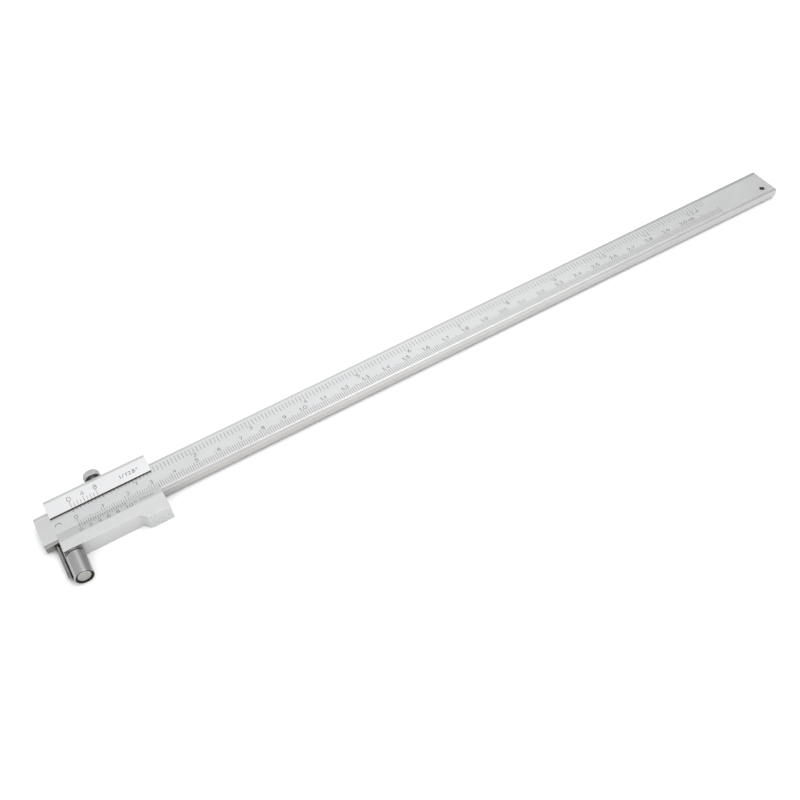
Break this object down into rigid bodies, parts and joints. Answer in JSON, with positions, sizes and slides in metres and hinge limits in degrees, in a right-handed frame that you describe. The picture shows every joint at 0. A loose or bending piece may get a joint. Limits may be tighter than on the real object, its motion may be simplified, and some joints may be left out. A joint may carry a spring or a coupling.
{
  "type": "marking vernier caliper",
  "caption": "Steel marking caliper: a graduated beam with a scriber at one end, and a slider with twin verniers, a lock screw and a guide roller.",
  "frame": {"origin": "on the slider's flat back, under the zero line, on the beam's centre line", "axes": "+X along the beam from the zero line to the tail, +Y towards the inch-scale edge, +Z out of the graduated face"},
  "size_m": [0.367, 0.0455, 0.0078],
  "materials": {
    "satin_steel": "satin chrome-plated, fine grain along the beam",
    "slider_steel": "satin chrome-plated",
    "hardened_steel": "ground, hardened",
    "carbide": "ground",
    "screw_steel": "turned",
    "knurled_steel": "straight knurl, plated",
    "bearing_steel": "polished",
    "roller_steel": "cylindrically ground",
    "cap_steel": "faced",
    "black_oxide": "blackened, matt",
    "brass": "machined"
  },
  "bodies": {
    "beam": {"beam": "satin_steel"},
    "scriber": {"scriber": "hardened_steel", "scriber_tip": "carbide"},
    "clamp_washer": {"scriber_washer": "screw_steel"},
    "clamp_screw": {"scriber_screw": "screw_steel"},
    "slider": {"slider": "slider_steel", "gib": "brass", "gib_screw_left": "screw_steel", "gib_screw_right": "screw_steel", "roller_axle": "hardened_steel", "axle_screw": "screw_steel", "dust_washer": "black_oxide", "bearing_spacer": "bearing_steel", "upper_inner_ring": "bearing_steel", "lower_inner_ring": "bearing_steel"},
    "lock_pad": {"pressure_pad": "brass"},
    "lock_screw": {"lock_screw": "knurled_steel"},
    "ball_sets": {"upper_balls": "bearing_steel", "lower_balls": "bearing_steel"},
    "roller": {"roller_sleeve": "roller_steel", "roller_end_cap": "cap_steel", "upper_outer_ring": "bearing_steel", "lower_outer_ring": "bearing_steel"}
  },
  "joints": [
    {"name": "slider_travel", "type": "slide", "parent": "beam", "child": "slider", "axis": [1, 0, 0], "range_m": [0, 0.3]},
    {"name": "scriber_adjustment", "type": "slide", "parent": "beam", "child": "scriber", "axis": [0, -1, 0], "range_m": [-0.0015, 0.0015]},
    {"name": "clamp_feed", "type": "slide", "parent": "beam", "child": "clamp_washer", "axis": [0, 0, -1], "range_m": [0, 0.000225]},
    {"name": "clamp_turn", "type": "hinge", "parent": "clamp_washer", "child": "clamp_screw", "pos_m": [-0.0074, -0.0009, 0.003], "axis": [0, 0, 1], "range_deg": [0, 180.1]},
    {"name": "lock_feed", "type": "slide", "parent": "slider", "child": "lock_pad", "axis": [0, -1, 0], "range_m": [-0.001, 0.00008]},
    {"name": "lock_turn", "type": "hinge", "parent": "lock_pad", "child": "lock_screw", "pos_m": [0.0118, 0.0139, 0.0037], "axis": [0, -1, 0], "range_deg": [-720.1, 60.1]},
    {"name": "roller_spin", "type": "hinge", "parent": "slider", "child": "roller", "pos_m": [-0.00615, -0.022, 0.00395], "axis": [0, 1, 0], "continuous": true},
    {"name": "ball_orbit", "type": "hinge", "parent": "slider", "child": "ball_sets", "pos_m": [-0.00615, -0.022, 0.00395], "axis": [0, 1, 0], "continuous": true}
  ],
  "couplings": [
    {"joint": "clamp_turn", "follows": "clamp_feed", "rad_per_m": 13963},
    {"joint": "lock_turn", "follows": "lock_feed", "rad_per_m": 12566},
    {"joint": "ball_orbit", "follows": "roller_spin", "ratio": 0.5989}
  ]
}
